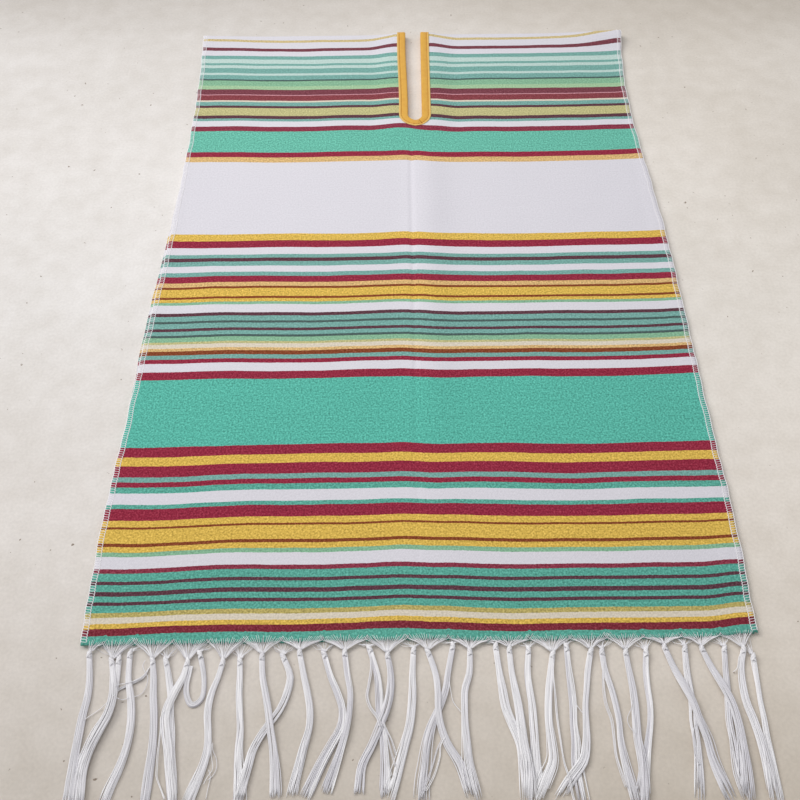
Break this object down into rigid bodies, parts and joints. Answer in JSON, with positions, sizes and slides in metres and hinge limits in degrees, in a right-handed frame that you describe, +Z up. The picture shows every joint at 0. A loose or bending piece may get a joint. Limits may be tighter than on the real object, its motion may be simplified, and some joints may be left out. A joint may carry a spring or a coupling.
{
  "type": "mexican poncho",
  "caption": "Striped woven cotton poncho laid flat, folded at the shoulders, with a bound neck slit and knotted warp fringe at both hems.",
  "frame": {"origin": "on the resting surface, under the middle of the laid-out poncho", "axes": "+Y from the fringed hems toward the shoulder fold, +X to the right seen from the hem side, +Z up from the surface"},
  "size_m": [0.6092, 1.0406, 0.011],
  "materials": {
    "woven_cotton": "weft-faced twill in teal, burgundy, gold, seafoam and white stripes",
    "cotton_tape": "mustard bias tape, plain woven",
    "cotton_warp": "off-white soft spun warp yarn"
  },
  "bodies": {
    "root": {"poncho_cloth": "woven_cotton", "neck_binding": "cotton_tape", "front_fringe": "cotton_warp", "back_fringe": "cotton_warp"}
  },
  "joints": []
}
